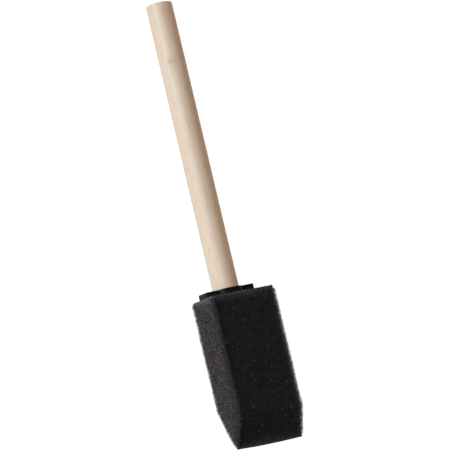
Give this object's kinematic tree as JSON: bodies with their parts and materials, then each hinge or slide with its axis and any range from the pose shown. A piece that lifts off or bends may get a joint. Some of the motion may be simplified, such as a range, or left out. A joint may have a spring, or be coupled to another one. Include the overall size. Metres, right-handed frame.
{
  "type": "foam sponge brush",
  "caption": "Foam paint brush: a plain round wooden dowel handle, a black moulded insert and a dark foam head cut to a chisel, for spreading paint, stain or glue.",
  "frame": {"origin": "on the handle's axis, in the outer face of the insert's flange, where the bare dowel begins", "axes": "+X along the handle from the foam's tip towards the free end; +Y across the brush; +Z out of the foam's broad front face, so the brush lies on its broad back face"},
  "size_m": [0.1594, 0.0254, 0.0136],
  "materials": {
    "birch": "satin",
    "black_plastic": "gloss",
    "foam": "matte",
    "adhesive": "satin"
  },
  "bodies": {
    "root": {"handle_dowel": "birch", "plastic_insert": "black_plastic", "foam_head": "foam", "handle_adhesive": "adhesive", "foam_adhesive_front": "adhesive", "foam_adhesive_back": "adhesive"}
  },
  "joints": []
}
